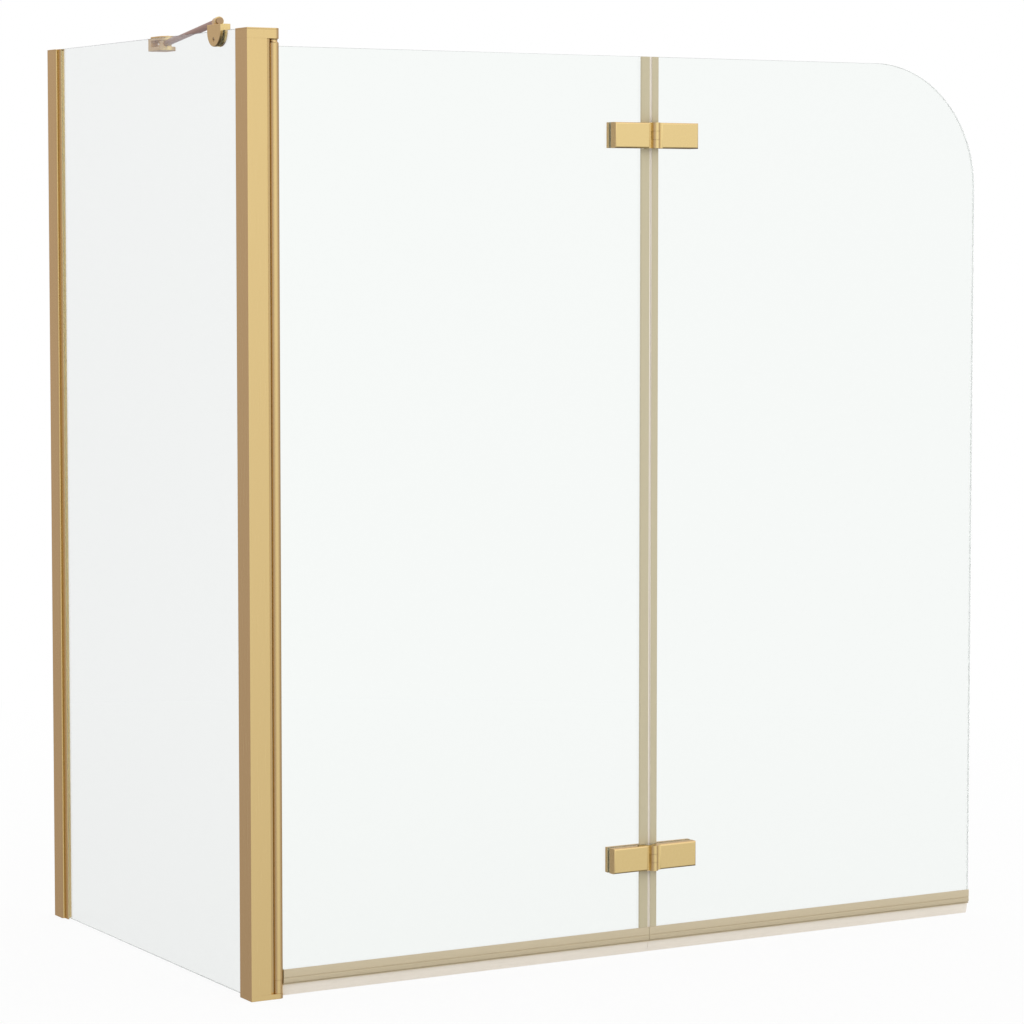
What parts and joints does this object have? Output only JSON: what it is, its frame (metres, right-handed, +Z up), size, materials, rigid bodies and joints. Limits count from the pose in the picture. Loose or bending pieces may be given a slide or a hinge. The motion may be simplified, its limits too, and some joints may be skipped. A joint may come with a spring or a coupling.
{
  "type": "shower enclosure",
  "caption": "Bath shower enclosure: fixed side glass between wall channel and corner post, pivoting and folding clear glass leaves with seals, stabiliser bar to the wall.",
  "frame": {"origin": "centre of the corner post's foot, on the bath edge", "axes": "+X along the front leaves away from the post, +Y from the front to the wall, +Z up"},
  "size_m": [1.2, 0.7022, 1.325],
  "materials": {
    "champagne_aluminium": "satin champagne gold anodised",
    "champagne_casting": "satin champagne gold plated casting",
    "champagne_tube": "satin champagne gold plated tube",
    "clear_glass": "clear toughened float glass",
    "seal_vinyl": "soft beige vinyl",
    "rail_vinyl": "satin beige vinyl",
    "lip_vinyl": "soft translucent vinyl",
    "gasket_rubber": "translucent grey",
    "bush_nylon": "bronze tinted nylon",
    "screw_steel": "plated"
  },
  "bodies": {
    "frame": {"adjusting_profile": "champagne_aluminium", "adjusting_screws": "screw_steel", "bar_end_eye": "champagne_casting", "bar_end_plug": "champagne_tube", "bar_grub_screw": "screw_steel", "clamp_grub_screw": "screw_steel", "clamp_pads": "gasket_rubber", "corner_post": "champagne_aluminium", "foot_plate_screws": "screw_steel", "lower_pivot_bush": "bush_nylon", "post_foot_plate": "champagne_casting", "post_glass_gaskets": "gasket_rubber", "post_top_bracket": "champagne_casting", "post_top_cover": "champagne_aluminium", "side_glass": "clear_glass", "stabiliser_bar": "champagne_tube", "stabiliser_clamp": "champagne_casting", "top_bracket_screws": "screw_steel", "upper_pivot_bush": "bush_nylon", "wall_bracket": "champagne_casting", "wall_bracket_pin": "screw_steel", "wall_channel": "champagne_aluminium", "wall_channel_cap": "champagne_aluminium", "wall_glass_gaskets": "gasket_rubber"},
    "leaf_a": {"hinge_stile": "champagne_aluminium", "leaf_a_bottom_rail": "rail_vinyl", "leaf_a_drip_lip": "lip_vinyl", "leaf_a_edge_seal": "seal_vinyl", "leaf_a_glass": "clear_glass", "leaf_a_hinge_gaskets": "gasket_rubber", "leaf_a_hinge_screws": "screw_steel", "lower_fold_pin": "screw_steel", "lower_hinge_back_plate_a": "champagne_casting", "lower_hinge_front_plate_a": "champagne_casting", "lower_stile_pivot": "champagne_casting", "stile_gaskets": "gasket_rubber", "stile_pivot_screws": "screw_steel", "upper_fold_pin": "screw_steel", "upper_hinge_back_plate_a": "champagne_casting", "upper_hinge_front_plate_a": "champagne_casting", "upper_stile_pivot": "champagne_casting"},
    "leaf_b": {"leaf_b_bottom_rail": "rail_vinyl", "leaf_b_drip_lip": "lip_vinyl", "leaf_b_edge_seal": "seal_vinyl", "leaf_b_glass": "clear_glass", "leaf_b_hinge_gaskets": "gasket_rubber", "leaf_b_hinge_screws": "screw_steel", "lower_hinge_back_plate_b": "champagne_casting", "lower_hinge_front_plate_b": "champagne_casting", "upper_hinge_back_plate_b": "champagne_casting", "upper_hinge_front_plate_b": "champagne_casting"}
  },
  "joints": [
    {"name": "leaf_a_pivot", "type": "hinge", "parent": "frame", "child": "leaf_a", "pos_m": [0.0271, -0.0105, 0.65], "axis": [0, 0, 1], "range_deg": [-90, 90]},
    {"name": "leaf_b_fold", "type": "hinge", "parent": "leaf_a", "child": "leaf_b", "pos_m": [0.6158, -0.0269, 0.65], "axis": [0, 0, 1], "range_deg": [-180, 0]}
  ]
}
